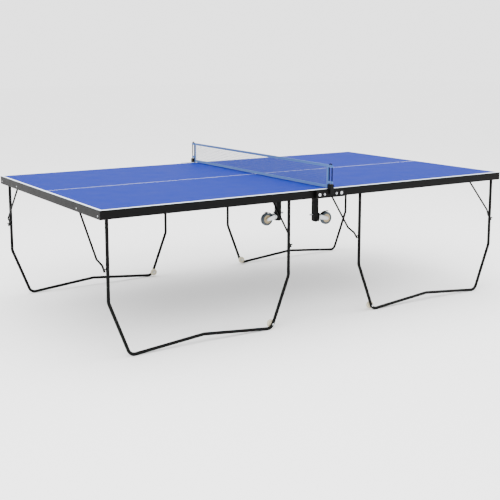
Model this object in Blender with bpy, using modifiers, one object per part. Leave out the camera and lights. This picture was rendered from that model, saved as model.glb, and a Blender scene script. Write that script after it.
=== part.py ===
"""Folding table tennis table: two board halves on bent tube legs, hinged to a wheeled centre frame.

Metres, +Z up. X runs along the table, Y across it, and the origin is on the floor under the net.
"""
import math

import bmesh
import bpy
from mathutils import Matrix, Vector

# ---------------------------------------------------------------- driving sizes
LENGTH = 2.74               # overall, along X
WIDTH = 1.525               # overall, along Y
HEIGHT = 0.76               # playing surface above the floor
TOUCH = 0.0003              # gap between two pieces that rest on each other
RUN = 0.0006                # radial gap of a pin in its hole

BOARD_THICK = 0.015
BOARD_GAP = 0.011           # between the two boards, under the net
BOARD_PROUD = 0.0015        # the board stands this far above its rim

RIM_HEIGHT = 0.046
RIM_WALL = 0.002
RIM_FLANGE = 0.018
RIM_HEM = 0.0045
RIM_HEM_HIGH = 0.004

CROSS_RAIL_FACE = 0.2016    # |X| of the cross rail's face that looks at the legs
CROSS_RAIL_DEPTH = 0.022

HINGE_X = 0.076             # |X| of the axes on which the halves fold
HINGE_DROP = 0.027          # those axes below the playing surface
HINGE_SHAFT_R = 0.010
HINGE_BOLT_R = 0.005
HINGE_HEAD_R = 0.009
HINGE_HEAD_HIGH = 0.004

SIDE_BRACKET_LONG = 0.194
SIDE_BRACKET_DEEP = 0.020
SIDE_BRACKET_WALL = 0.003
SIDE_BOLT_X = 0.0415
SIDE_BOLT_R = 0.006

TUBE_R = 0.009              # leg tube
LEG_OUTER_X = 1.3246
LEG_INNER_X = 0.2496
LEG_INSET = 0.0285          # tube centre inside the table's long edge
LEG_PIVOT_DROP = 0.031
LEG_BEND_Z = 0.2932
FOOT_OUTER_X = 1.2137
FOOT_INNER_X = 0.3611
BAR_KINK_X = 0.7903
BAR_RISE = 0.0396           # the kink above the two feet
FOOT_BEND_R = 0.040
POST_BEND_R = 0.050
KINK_BEND_R = 0.060
LEG_PIN_R = 0.005

ROLLER_X = 0.355
ROLLER_Z = 0.030
ROLLER_R = 0.022
ROLLER_WIDE = 0.015
ROLLER_AXLE_R = 0.004

BRACE_R = 0.0055
BRACE_TOP_INSET = 0.298     # brace pivot inside the table's long edge
BRACE_TOP_DROP = 0.0305
BRACE_HOOK_Z = 0.449
BRACE_OFF_RAIL = 0.0075     # rod centre to the face of the cross rail
BRACE_OFF_RIM = 0.0115      # rod centre to the table's end
BRACE_OFF_POST = 0.0165     # hook centre to the centre of the leg's post
HOOK_PIN_RISE = 0.014
HOOK_PIN_R = 0.0035
HOOK_PIN_REACH = 0.0145        # the hook pin stands this far out of the leg's post

CHANNEL = 0.030             # square wheel post
CHANNEL_WALL = 0.002
CHANNEL_X = 0.081
CHANNEL_Y_NARROW = 0.382    # the two posts of one side stand at these distances from the middle
CHANNEL_Y_WIDE = 0.530
CASTER_HINGE_Z = 0.5445
CHANNEL_SOLID = 0.016       # solid end above the caster hinge
PLATE = 0.004
EAR = 0.0025
CASTER_PIN_R = 0.0038
SWIVEL_Z = 0.5575
SWIVEL_R = 0.0205
SWIVEL_HIGH = 0.011
WHEEL_R = 0.0375
WHEEL_WIDE = 0.022
WHEEL_OUT = 0.079           # wheel centre from the post's centre
WHEEL_TRAIL = 0.013
PULL_PIN_Z = 0.5735
PULL_PIN_OUT = 0.022

NET_TOP = 0.895
NET_TAPE_HIGH = 0.015
NET_TAPE_THICK = 0.004
NET_THICK = 0.0012
NET_LOW = 0.764
POST_R = 0.0035
POST_TOP = 0.903
POST_IN = 0.0030            # inner rod outside the table's long edge
POST_WIDE = 0.026
CLAMP_LONG = 0.024
CLAMP_TOP = 0.786
CLAMP_LOW = 0.733
CLAMP_LIP = 0.012

# ---------------------------------------------------------------- sizes that follow
END_X = LENGTH / 2
EDGE_Y = WIDTH / 2
BOARD_LOW = HEIGHT - BOARD_THICK
RIM_TOP = HEIGHT - BOARD_PROUD
RIM_LOW = RIM_TOP - RIM_HEIGHT
FLANGE_TOP = BOARD_LOW - TOUCH
FLANGE_LOW = FLANGE_TOP - RIM_WALL
HINGE_Z = HEIGHT - HINGE_DROP
LEG_Y = EDGE_Y - LEG_INSET
LEG_PIVOT_Z = HEIGHT - LEG_PIVOT_DROP
BRACE_TOP_Y = EDGE_Y - BRACE_TOP_INSET
BRACE_TOP_Z = HEIGHT - BRACE_TOP_DROP
BRACKET_IN_Y = EDGE_Y + 0.0004
BRACKET_OUT_Y = BRACKET_IN_Y + SIDE_BRACKET_DEEP
WHEEL_Z = SWIVEL_Z - WHEEL_TRAIL
CHANNEL_LOW = CASTER_HINGE_Z - CHANNEL / 2
HALVES = (("left", -1), ("right", 1))
SIDES = (("near", -1), ("far", 1))


# ---------------------------------------------------------------- modelling helpers
def clear_scene():
    for obj in list(bpy.data.objects):
        bpy.data.objects.remove(obj, do_unlink=True)


def material(name, colour, roughness, metallic):
    made = bpy.data.materials.new(name)
    made.use_nodes = True
    shader = made.node_tree.nodes["Principled BSDF"]
    shader.inputs["Base Color"].default_value = (*colour, 1.0)
    shader.inputs["Roughness"].default_value = roughness
    shader.inputs["Metallic"].default_value = metallic
    return made


def mesh_object(name, mesh):
    obj = bpy.data.objects.new(name, mesh)
    bpy.context.scene.collection.objects.link(obj)
    return obj


def box(low, high, name="box"):
    """A block between two corners, given in any order."""
    shape = bmesh.new()
    bmesh.ops.create_cube(shape, size=1.0)
    size = [abs(high[i] - low[i]) for i in range(3)]
    centre = [(high[i] + low[i]) / 2 for i in range(3)]
    bmesh.ops.scale(shape, vec=size, verts=shape.verts)
    bmesh.ops.translate(shape, vec=centre, verts=shape.verts)
    mesh = bpy.data.meshes.new(name)
    shape.to_mesh(mesh)
    shape.free()
    return mesh_object(name, mesh)


def cylinder(start, end, radius, segments=12, name="cylinder"):
    """A round bar between two points."""
    start, end = Vector(start), Vector(end)
    along = end - start
    shape = bmesh.new()
    bmesh.ops.create_cone(shape, cap_ends=True, segments=segments, radius1=radius, radius2=radius,
                          depth=along.length)
    turn = along.to_track_quat("Z", "Y").to_matrix().to_4x4()
    bmesh.ops.transform(shape, matrix=Matrix.Translation((start + end) / 2) @ turn, verts=shape.verts)
    mesh = bpy.data.meshes.new(name)
    shape.to_mesh(mesh)
    shape.free()
    return mesh_object(name, mesh)


def solid_mesh(obj, matrix=None):
    """Replace a curve or a modified object by its welded mesh, placed in the world."""
    bpy.context.view_layer.update()
    graph = bpy.context.evaluated_depsgraph_get()
    mesh = bpy.data.meshes.new_from_object(obj.evaluated_get(graph))
    mesh.transform(matrix if matrix is not None else obj.matrix_world)
    shape = bmesh.new()
    shape.from_mesh(mesh)
    bmesh.ops.remove_doubles(shape, verts=shape.verts, dist=1e-6)
    bmesh.ops.recalc_face_normals(shape, faces=shape.faces)
    shape.to_mesh(mesh)
    shape.free()
    name = obj.name
    bpy.data.objects.remove(obj, do_unlink=True)
    return mesh_object(name, mesh)


def rod(points, radius, rounds=3, name="rod"):
    """Round bar through the points; rounds is the bevel resolution, 2 for 8 sides and 4 for 12."""
    curve = bpy.data.curves.new(name, "CURVE")
    curve.dimensions = "3D"
    curve.bevel_depth = radius
    curve.bevel_resolution = rounds
    curve.use_fill_caps = True
    spline = curve.splines.new("POLY")
    spline.points.add(len(points) - 1)
    for point, place in zip(spline.points, points):
        point.co = (*place, 1.0)
    return solid_mesh(mesh_object(name, curve))


def extrusion(outline, half_long, matrix, name="extrusion"):
    """Flat outline drawn in its own XY, extruded both ways along its Z, then placed by matrix."""
    curve = bpy.data.curves.new(name, "CURVE")
    curve.dimensions = "2D"
    curve.fill_mode = "BOTH"
    curve.extrude = half_long
    spline = curve.splines.new("POLY")
    spline.points.add(len(outline) - 1)
    for point, place in zip(spline.points, outline):
        point.co = (place[0], place[1], 0.0, 1.0)
    spline.use_cyclic_u = True
    return solid_mesh(mesh_object(name, curve), matrix)


def turned(profile, centre, segments=24, name="turned"):
    """Closed (radius, height) profile turned about a Y axis through centre."""
    mesh = bpy.data.meshes.new(name)
    corners = [(radius, 0.0, height) for radius, height in profile]
    edges = [(i, (i + 1) % len(corners)) for i in range(len(corners))]
    mesh.from_pydata(corners, edges, [])
    obj = mesh_object(name, mesh)
    screw = obj.modifiers.new("turn", "SCREW")
    screw.steps = segments
    screw.render_steps = segments
    screw.use_merge_vertices = True
    screw.merge_threshold = 1e-5
    lay_down = Matrix.Translation(centre) @ Matrix.Rotation(math.radians(-90), 4, "X")
    return solid_mesh(obj, lay_down)


def combine(obj, tools, operation):
    """Join or cut obj with each tool in turn; the tools are used up."""
    for tool in tools:
        change = obj.modifiers.new("combine", "BOOLEAN")
        change.operation = operation
        change.solver = "EXACT"
        change.object = tool
        bpy.context.view_layer.update()
        graph = bpy.context.evaluated_depsgraph_get()
        mesh = bpy.data.meshes.new_from_object(obj.evaluated_get(graph))
        obj.modifiers.clear()
        obj.data = mesh
        bpy.data.objects.remove(tool, do_unlink=True)
    return obj


def join(obj, *tools):
    return combine(obj, tools, "UNION")


def cut(obj, *tools):
    return combine(obj, tools, "DIFFERENCE")


def rounded(points, radii, steps=4):
    """Polyline with each inner corner replaced by an arc of its radius."""
    points = [Vector(point) for point in points]
    path = [points[0]]
    for before, corner, after, radius in zip(points, points[1:], points[2:], radii):
        way_in = (before - corner).normalized()
        way_out = (after - corner).normalized()
        half = way_in.angle(way_out) / 2
        centre = corner + (way_in + way_out).normalized() * radius / math.sin(half)
        first = corner + way_in * radius / math.tan(half) - centre
        last = corner + way_out * radius / math.tan(half) - centre
        for i in range(steps):
            spoke = first.normalized().slerp(last.normalized(), i / (steps - 1))
            path.append(centre + spoke * radius)
    return path + [points[-1]]


def node(obj, name, finish, axis_empty=None):
    """Name a finished piece, give it its material, and hang it on its joint's empty."""
    obj.name = name
    obj.data.name = name
    obj.data.materials.clear()
    obj.data.materials.append(finish)
    obj.data.shade_smooth()
    obj.data.set_sharp_from_angle(angle=math.radians(35))
    for holder in list(obj.users_collection):
        holder.objects.unlink(obj)
    TABLE.objects.link(obj)
    if axis_empty is not None:
        obj.parent = axis_empty
        obj.matrix_parent_inverse = axis_empty.matrix_world.inverted()
    return obj


def joint_empty(name, place, parent=None):
    empty = bpy.data.objects.new(name, None)
    empty.empty_display_size = 0.03
    TABLE.objects.link(empty)
    empty.location = place
    bpy.context.view_layer.update()
    if parent is not None:
        empty.parent = parent
        empty.matrix_parent_inverse = parent.matrix_world.inverted()
        bpy.context.view_layer.update()
    return empty


# ---------------------------------------------------------------- board halves
def rim_outline(outer, inward):
    """Rim section in (across, up): web, flange under the board, hem along the lower edge."""
    section = [(0, RIM_LOW), (0, RIM_TOP), (RIM_WALL, RIM_TOP), (RIM_WALL, FLANGE_TOP),
               (RIM_FLANGE, FLANGE_TOP), (RIM_FLANGE, FLANGE_LOW), (RIM_WALL, FLANGE_LOW),
               (RIM_WALL, RIM_LOW + RIM_HEM_HIGH), (RIM_HEM, RIM_LOW + RIM_HEM_HIGH), (RIM_HEM, RIM_LOW)]
    return [(outer + inward * depth, height) for depth, height in section]


def along_y(x=0.0):
    """Places an outline drawn in (X, Z) so that its extrusion runs along Y."""
    return Matrix.Translation((x, 0, 0)) @ Matrix.Rotation(math.radians(90), 4, "X")


def along_x(middle):
    """Places an outline drawn in (Y, Z) so that its extrusion runs along X."""
    turn = Matrix(((0, 0, 1, 0), (1, 0, 0, 0), (0, 1, 0, 0), (0, 0, 0, 1)))
    return Matrix.Translation((middle, 0, 0)) @ turn


def board(side):
    inner = side * BOARD_GAP / 2
    outer = side * (END_X - RIM_WALL - TOUCH)
    reach = EDGE_Y - RIM_WALL - TOUCH
    return box((inner, -reach, BOARD_LOW), (outer, reach, HEIGHT))


def side_rail(side, edge):
    start = BOARD_GAP / 2
    stop = END_X - RIM_WALL - TOUCH
    rail = extrusion(rim_outline(edge * EDGE_Y, -edge), (stop - start) / 2, along_x(side * (start + stop) / 2))
    bolt = cylinder((side * HINGE_X, edge * (EDGE_Y - 0.012), HINGE_Z),
                    (side * HINGE_X, edge * (EDGE_Y + 0.010), HINGE_Z), HINGE_BOLT_R + RUN)
    return cut(rail, bolt)


def rail_holes(x_from, x_to):
    """The four bores of one cross member: two leg pins and two brace ends."""
    holes = []
    for _, edge in SIDES:
        leg, brace = (edge * LEG_Y, LEG_PIVOT_Z), (edge * BRACE_TOP_Y, BRACE_TOP_Z)
        holes.append(cylinder((x_from, *leg), (x_to, *leg), LEG_PIN_R + RUN))
        holes.append(cylinder((x_from, *brace), (x_to, *brace), BRACE_R + RUN))
    return holes


def end_rail(side):
    rail = extrusion(rim_outline(side * END_X, -side), EDGE_Y, along_y())
    seats = []
    for _, edge in SIDES:
        seats.append(box((side * (END_X - RIM_WALL - TOUCH), edge * (EDGE_Y - RIM_FLANGE - TOUCH), RIM_LOW - 0.01),
                         (side * (END_X - 0.03), edge * (EDGE_Y + 0.01), HEIGHT)))
    return cut(rail, *seats, *rail_holes(side * (END_X - 0.006), side * (END_X + 0.01)))


def cross_rail(side):
    top = FLANGE_LOW - TOUCH
    low = RIM_LOW + 0.002
    face, back, wall = CROSS_RAIL_FACE, CROSS_RAIL_FACE - CROSS_RAIL_DEPTH, RIM_WALL
    section = [(face, low), (face, top), (back, top), (back, top - wall), (face - wall, top - wall),
               (face - wall, low + wall), (back, low + wall), (back, low)]
    outline = [(side * x, z) for x, z in section]
    rail = extrusion(outline, EDGE_Y - RIM_HEM - TOUCH, along_y())
    return cut(rail, *rail_holes(side * (face - 0.006), side * (face + 0.006)))


# ---------------------------------------------------------------- legs, rollers and braces
def leg_frame(side, edge):
    """One bent tube from post to post, with its two top pins, two hook pins and the roller's axle."""
    foot = TUBE_R - 0.0657 * FOOT_BEND_R
    top = LEG_PIVOT_Z + TUBE_R
    corners = [(LEG_OUTER_X, top), (LEG_OUTER_X, LEG_BEND_Z), (FOOT_OUTER_X, foot),
               (BAR_KINK_X, foot + BAR_RISE), (FOOT_INNER_X, foot), (LEG_INNER_X, LEG_BEND_Z), (LEG_INNER_X, top)]
    radii = (POST_BEND_R, FOOT_BEND_R, KINK_BEND_R, FOOT_BEND_R, POST_BEND_R)
    y = edge * LEG_Y
    path = rounded([(side * x, y, z) for x, z in corners], radii)
    lowest = min(point.z for point in path)
    path = [point + Vector((0, 0, TUBE_R - lowest)) if point.z < LEG_BEND_Z - POST_BEND_R else point for point in path]
    tube = rod(path, TUBE_R, 3)
    pins = []
    for post, far, middle in ((LEG_OUTER_X, END_X - 0.0005, END_X - RIM_HEM - TOUCH),
                              (LEG_INNER_X, CROSS_RAIL_FACE - 0.0026, CROSS_RAIL_FACE + TOUCH)):
        toward = math.copysign(1, far - post)
        core = post - toward * 0.003
        pins.append(cylinder((side * core, y, LEG_PIVOT_Z), (side * far, y, LEG_PIVOT_Z), LEG_PIN_R))
        pins.append(cylinder((side * post, y, LEG_PIVOT_Z), (side * middle, y, LEG_PIVOT_Z), LEG_PIN_R + 0.002))
        reach = post + toward * (TUBE_R + HOOK_PIN_REACH)
        z = BRACE_HOOK_Z + HOOK_PIN_RISE
        pins.append(cylinder((side * post, y, z), (side * reach, y, z), HOOK_PIN_R, 12))
    outer_face = edge * (LEG_Y + TUBE_R)
    inner_face = edge * (LEG_Y - TUBE_R)
    x = side * ROLLER_X
    beyond = inner_face - edge * (ROLLER_WIDE + 0.0015)
    pins.append(cylinder((x, outer_face, ROLLER_Z), (x, beyond - edge * 0.001, ROLLER_Z), ROLLER_AXLE_R, 12))
    pins.append(cylinder((x, beyond, ROLLER_Z), (x, beyond - edge * 0.0025, ROLLER_Z), 0.007, 12))
    pins.append(cylinder((x, outer_face - edge * 0.001, ROLLER_Z), (x, outer_face + edge * 0.003, ROLLER_Z), 0.006, 12))
    return join(tube, *pins)


def foot_roller(side, edge):
    bore = ROLLER_AXLE_R + RUN
    half = ROLLER_WIDE / 2
    soft = 0.003
    profile = [(bore, half), (ROLLER_R - soft, half), (ROLLER_R, half - soft), (ROLLER_R, soft - half),
               (ROLLER_R - soft, -half), (bore, -half)]
    middle = LEG_Y - TUBE_R - 0.0008 - half
    return turned(profile, (side * ROLLER_X, edge * middle, ROLLER_Z), 16)


def brace(side, edge, end):
    """Rod from a bore in the rail, down at about 45 degrees, stepped sideways to the leg's hook pin."""
    if end == "outer":
        bore_x, plane_x, hook_x = END_X - 0.0005, END_X - BRACE_OFF_RIM, LEG_OUTER_X + BRACE_OFF_POST
    else:
        bore_x, plane_x = CROSS_RAIL_FACE - 0.0026, CROSS_RAIL_FACE + BRACE_OFF_RAIL
        hook_x = LEG_INNER_X - BRACE_OFF_POST
    drop = BRACE_TOP_Z - BRACE_HOOK_Z
    run = LEG_Y - BRACE_TOP_Y

    def down(share):
        return BRACE_TOP_Y + run * share, BRACE_TOP_Z - drop * share

    corners = [(bore_x, *down(0)), (plane_x, *down(0)), (plane_x, *down(0.80)), (hook_x, *down(0.90)), (hook_x, *down(1))]
    radii = (0.0065, 0.012, 0.012)
    path = rounded([(side * x, edge * y, z) for x, y, z in corners], radii, 3)
    return rod(path, BRACE_R, 2)


# ---------------------------------------------------------------- wheeled centre frame
def side_bracket(edge):
    half = SIDE_BRACKET_LONG / 2
    shell = box((-half, edge * BRACKET_IN_Y, RIM_LOW), (half, edge * BRACKET_OUT_Y, HEIGHT - TOUCH))
    wall = SIDE_BRACKET_WALL
    hollow = box((wall - half, edge * (BRACKET_IN_Y - 0.01), RIM_LOW + wall),
                 (half - wall, edge * (BRACKET_OUT_Y - wall), HEIGHT - TOUCH - wall))
    holes = [cylinder((x, edge * (BRACKET_OUT_Y - 0.01), HINGE_Z), (x, edge * (BRACKET_OUT_Y + 0.01), HINGE_Z),
                      HINGE_BOLT_R + RUN) for x in (-HINGE_X, HINGE_X)]
    heads = [cylinder((x, edge * (BRACKET_OUT_Y - 0.001), HINGE_Z), (x, edge * (BRACKET_OUT_Y + 0.003), HINGE_Z),
                      SIDE_BOLT_R, 12) for x in (-SIDE_BOLT_X, SIDE_BOLT_X)]
    return join(cut(shell, hollow, *holes), *heads)


def hinge_shaft(side):
    """Shaft across the table, with a thinner bolt at each end through the rim and the side bracket."""
    body = EDGE_Y - RIM_FLANGE - 0.0045
    head = BRACKET_OUT_Y + TOUCH
    tip = head + HINGE_HEAD_HIGH
    x = side * HINGE_X
    shaft = cylinder((x, -body, HINGE_Z), (x, body, HINGE_Z), HINGE_SHAFT_R, 20)
    bolt = cylinder((x, -tip + 0.001, HINGE_Z), (x, tip - 0.001, HINGE_Z), HINGE_BOLT_R, 16)
    caps = [cylinder((x, edge * head, HINGE_Z), (x, edge * tip, HINGE_Z), HINGE_HEAD_R, 12) for _, edge in SIDES]
    return join(shaft, bolt, *caps)


def wheel_post(side, y):
    """Square tube with a solid round end, bored for the caster's hinge pin and the pull pin."""
    x, half = side * CHANNEL_X, CHANNEL / 2
    top = HINGE_Z - HINGE_SHAFT_R - TOUCH
    post = box((x - half, y - half, CASTER_HINGE_Z), (x + half, y + half, top))
    end = cylinder((x, y - half, CASTER_HINGE_Z), (x, y + half, CASTER_HINGE_Z), half, 32)
    inner = half - CHANNEL_WALL
    hollow = box((x - inner, y - inner, CASTER_HINGE_Z + CHANNEL_SOLID), (x + inner, y + inner, top + 0.01))
    hinge = cylinder((x, y - 0.02, CASTER_HINGE_Z), (x, y + 0.02, CASTER_HINGE_Z), CASTER_PIN_R + RUN)
    lock = cylinder((x - 0.02, y, PULL_PIN_Z), (x + 0.02, y, PULL_PIN_Z), CASTER_PIN_R + RUN)
    return cut(join(post, end), hollow, hinge, lock)


def caster_bracket(side, y):
    """Swinging plate: it hangs the caster beside the post, and swings down under the post's round end."""
    x, half = side * CHANNEL_X, CHANNEL / 2
    face = half + TOUCH
    back = face + PLATE
    wide = half + TOUCH + EAR
    plate = box((x + side * face, y - wide, CASTER_HINGE_Z - 0.0125), (x + side * back, y + wide, SWIVEL_Z + 0.0255))
    ears = []
    for _, edge in SIDES:
        ears.append(box((x - side * 0.008, y + edge * (half + TOUCH), CASTER_HINGE_Z - 0.008),
                        (x + side * back, y + edge * wide, CASTER_HINGE_Z + 0.008)))
    pin = cylinder((x, y - wide - 0.002, CASTER_HINGE_Z), (x, y + wide + 0.002, CASTER_HINGE_Z), CASTER_PIN_R)
    stem = cylinder((x + side * (face - 0.01), y, SWIVEL_Z), (x + side * (back + 0.01), y, SWIVEL_Z), 0.004 + RUN)
    return cut(join(plate, *ears, pin), stem)


def caster_fork(side, y):
    x = side * CHANNEL_X
    out = CHANNEL / 2 + TOUCH + PLATE + TOUCH
    crown = out + SWIVEL_HIGH
    disc = cylinder((x + side * out, y, SWIVEL_Z), (x + side * crown, y, SWIVEL_Z), SWIVEL_R, 24)
    stem = cylinder((x + side * (out - PLATE), y, SWIVEL_Z), (x + side * (out + 0.002), y, SWIVEL_Z), 0.004)
    cheek_in, cheek_out = 0.0145, 0.0175
    bridge = box((x + side * (crown - 0.001), y - cheek_out, SWIVEL_Z - 0.0155),
                 (x + side * (crown + 0.003), y + cheek_out, SWIVEL_Z + 0.0130))
    end_x, end_z = WHEEL_OUT, -WHEEL_TRAIL
    outline = [(crown - 0.0005, 0.0130), (crown - 0.0005, -0.0155), (end_x - 0.002, end_z - 0.0085),
               (end_x + 0.006, end_z - 0.006), (end_x + 0.0085, end_z), (end_x + 0.005, end_z + 0.0075)]
    cheeks = []
    for _, edge in SIDES:
        middle = y + edge * (cheek_in + cheek_out) / 2
        place = Matrix.Translation((x, middle, SWIVEL_Z)) @ Matrix.Rotation(math.radians(90), 4, "X")
        cheeks.append(extrusion([(side * a, b) for a, b in outline], (cheek_out - cheek_in) / 2, place))
    wheel_x = x + side * WHEEL_OUT
    axle = cylinder((wheel_x, y - 0.0205, WHEEL_Z), (wheel_x, y + 0.0205, WHEEL_Z), 0.004)
    return join(disc, stem, bridge, *cheeks, axle)


def caster_wheel(side, y):
    bore, hub, half, soft = 0.004 + RUN, 0.012, WHEEL_WIDE / 2, 0.003
    proud = half + 0.0015
    upper = [(bore, proud), (hub, proud), (hub, half), (WHEEL_R - soft, half), (WHEEL_R, half - soft)]
    lower = [(radius, -height) for radius, height in upper[::-1]]
    centre = (side * (CHANNEL_X + WHEEL_OUT), y, WHEEL_Z)
    return turned(upper + lower, centre, 22)


def pull_pin(side, y):
    """Spring plunger of the caster's lock; its tip stops inside the post's outer wall."""
    x = side * CHANNEL_X
    tip = side * (CHANNEL / 2 - 0.0005)
    back = -side * (CHANNEL / 2 + PULL_PIN_OUT)
    shank = cylinder((x + tip, y, PULL_PIN_Z), (x + back, y, PULL_PIN_Z), CASTER_PIN_R, 12)
    grip = cylinder((x + back, y, PULL_PIN_Z), (x + back + side * 0.005, y, PULL_PIN_Z), CASTER_PIN_R + 0.0015, 12)
    return join(shank, grip)


# ---------------------------------------------------------------- net
def net_clamp(edge):
    """Block that sits on the side bracket and hooks over its outer face."""
    inner = EDGE_Y + 0.0008
    lip_in = BRACKET_OUT_Y + TOUCH
    outer = lip_in + CLAMP_LIP
    outline = [(inner, HEIGHT), (inner, CLAMP_TOP), (outer, CLAMP_TOP), (outer, CLAMP_LOW), (lip_in, CLAMP_LOW),
               (lip_in, HEIGHT)]
    return extrusion([(edge * y, z) for y, z in outline], CLAMP_LONG / 2, along_x(0.0))


def net_post(edge):
    inner = EDGE_Y + POST_IN
    radius = POST_WIDE / 2
    middle = inner + radius
    arc = [(middle - radius * math.cos(math.pi * i / 8), POST_TOP - POST_R - radius + radius * math.sin(math.pi * i / 8))
           for i in range(9)]
    low = CLAMP_TOP + TOUCH
    path = [(inner, low)] + arc + [(inner + POST_WIDE, low)]
    return rod([(0.0, edge * y, z) for y, z in path], POST_R, 2)


def net_strip(low, high, thick):
    reach = EDGE_Y - 0.0015
    return box((-thick / 2, -reach, low), (thick / 2, reach, high))


# ---------------------------------------------------------------- assembly
def build_half(name, side):
    fold = joint_empty(f"{name}_fold_axis", (side * HINGE_X, 0, HINGE_Z))
    node(board(side), f"{name}_board", BOARD, fold)
    node(end_rail(side), f"{name}_end_rail", STEEL, fold)
    node(cross_rail(side), f"{name}_cross_rail", STEEL, fold)
    for edge_name, edge in SIDES:
        label = f"{name}_{edge_name}"
        node(side_rail(side, edge), f"{label}_side_rail", STEEL, fold)
        leg_axis = joint_empty(f"{label}_leg_axis", (side * LEG_INNER_X, edge * LEG_Y, LEG_PIVOT_Z), fold)
        node(leg_frame(side, edge), f"{label}_leg_frame", STEEL, leg_axis)
        roller_axis = joint_empty(f"{label}_roller_axis", (side * ROLLER_X, edge * LEG_Y, ROLLER_Z), leg_axis)
        node(foot_roller(side, edge), f"{label}_foot_roller", NYLON, roller_axis)
        for end in ("outer", "inner"):
            place = (side * (END_X if end == "outer" else CROSS_RAIL_FACE), edge * BRACE_TOP_Y, BRACE_TOP_Z)
            brace_axis = joint_empty(f"{label}_{end}_brace_axis", place, fold)
            node(brace(side, edge, end), f"{label}_{end}_brace", STEEL, brace_axis)


def build_caster(label, side, y):
    x = side * CHANNEL_X
    node(wheel_post(side, y), f"{label}_wheel_post", STEEL)
    swing = joint_empty(f"{label}_caster_axis", (x, y, CASTER_HINGE_Z))
    node(caster_bracket(side, y), f"{label}_caster_bracket", STEEL, swing)
    swivel = joint_empty(f"{label}_swivel_axis", (x, y, SWIVEL_Z), swing)
    node(caster_fork(side, y), f"{label}_caster_fork", ZINC, swivel)
    spin = joint_empty(f"{label}_wheel_axis", (x + side * WHEEL_OUT, y, WHEEL_Z), swivel)
    node(caster_wheel(side, y), f"{label}_caster_wheel", NYLON, spin)
    pull = joint_empty(f"{label}_pull_pin_axis", (x, y, PULL_PIN_Z))
    node(pull_pin(side, y), f"{label}_pull_pin", ZINC, pull)


def build_centre():
    for name, side in HALVES:
        node(hinge_shaft(side), f"{name}_hinge_shaft", ZINC)
        places = (("near", -1, CHANNEL_Y_NARROW if side < 0 else CHANNEL_Y_WIDE),
                  ("far", 1, CHANNEL_Y_WIDE if side < 0 else CHANNEL_Y_NARROW))
        for edge_name, edge, distance in places:
            build_caster(f"{name}_{edge_name}", side, edge * distance)
    for edge_name, edge in SIDES:
        node(side_bracket(edge), f"{edge_name}_side_bracket", STEEL)
        node(net_clamp(edge), f"{edge_name}_net_clamp", PLASTIC)
        node(net_post(edge), f"{edge_name}_net_post", STEEL)
    tape_low = NET_TOP - NET_TAPE_HIGH
    node(net_strip(tape_low, NET_TOP, NET_TAPE_THICK), "net_top_tape", CLOTH)
    node(net_strip(NET_LOW, NET_LOW + NET_TAPE_HIGH, NET_TAPE_THICK), "net_bottom_tape", CLOTH)
    node(net_strip(NET_LOW + NET_TAPE_HIGH + TOUCH, tape_low - TOUCH, NET_THICK), "net", CLOTH)


clear_scene()
TABLE = bpy.data.collections.new("table_tennis_table")
bpy.context.scene.collection.children.link(TABLE)
BOARD = material("board", (0.03, 0.09, 0.42), 0.45, 0.0)
STEEL = material("black_steel", (0.012, 0.012, 0.013), 0.4, 0.2)
ZINC = material("zinc_steel", (0.55, 0.56, 0.58), 0.35, 1.0)
NYLON = material("nylon", (0.55, 0.52, 0.42), 0.5, 0.0)
PLASTIC = material("black_plastic", (0.02, 0.02, 0.02), 0.5, 0.0)
CLOTH = material("net_cloth", (0.04, 0.12, 0.40), 0.8, 0.0)
for half_name, half_side in HALVES:
    build_half(half_name, half_side)
build_centre()
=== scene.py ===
# %% [markdown]
# # A folding table-tennis table
#
# The table is a pair of blue boards in black steel rims, standing on four bent
# steel tubes, with a net between them and four castors hanging under the middle.
# This lesson dresses a ready-made frame: the frame gives the sizes and the
# joints, and each cell below adds one kind of piece or one finish.
#
# First the frame is loaded.

# %% Load the frame
import math
import bmesh
import bpy
import numpy as np
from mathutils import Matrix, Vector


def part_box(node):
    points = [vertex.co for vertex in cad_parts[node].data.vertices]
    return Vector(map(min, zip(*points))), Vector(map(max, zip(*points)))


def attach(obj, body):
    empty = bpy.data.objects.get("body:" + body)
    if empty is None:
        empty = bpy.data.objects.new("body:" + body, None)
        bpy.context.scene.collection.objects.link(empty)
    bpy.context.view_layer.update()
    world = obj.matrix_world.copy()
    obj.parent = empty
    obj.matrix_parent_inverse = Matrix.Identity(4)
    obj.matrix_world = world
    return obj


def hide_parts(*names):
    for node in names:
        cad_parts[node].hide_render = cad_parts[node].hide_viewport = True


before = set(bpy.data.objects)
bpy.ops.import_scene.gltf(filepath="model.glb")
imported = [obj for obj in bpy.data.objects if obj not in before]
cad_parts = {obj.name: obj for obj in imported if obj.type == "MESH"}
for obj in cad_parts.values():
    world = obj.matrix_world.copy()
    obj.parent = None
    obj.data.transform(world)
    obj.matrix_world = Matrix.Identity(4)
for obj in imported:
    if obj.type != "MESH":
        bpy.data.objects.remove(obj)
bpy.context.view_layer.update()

# %% [markdown]
# ## Sizes
#
# A match table is 2.74 m long, 1.525 m wide and 0.76 m high. X runs along the
# table, Y across it, and Z up from the floor. Nearly everything is symmetrical,
# so a size is written once, and the two halves and two long sides use it with a
# plus or a minus sign. Only the four castor posts are listed one by one.

# %% Sizes of the table, in metres
END_X, EDGE_Y, HEIGHT = 1.37, 0.7625, 0.76
CROSS_RAIL_FACE = 0.2016
HALVES = {"left": -1, "right": 1}
SIDES = {"near": -1, "far": 1}
AXES = np.eye(3)

# %% [markdown]
# ## Camera, floor and light
#
# The camera stands at one long side near a corner, at the height of a standing
# person, and looks down a little. A camera that tilts makes upright legs lean in
# the picture, and a lens that shifts doesn't, but a large shift would push the
# table out of every other view. So most of the work is done by the tilt, and a
# small shift takes away part of the lean.

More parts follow.
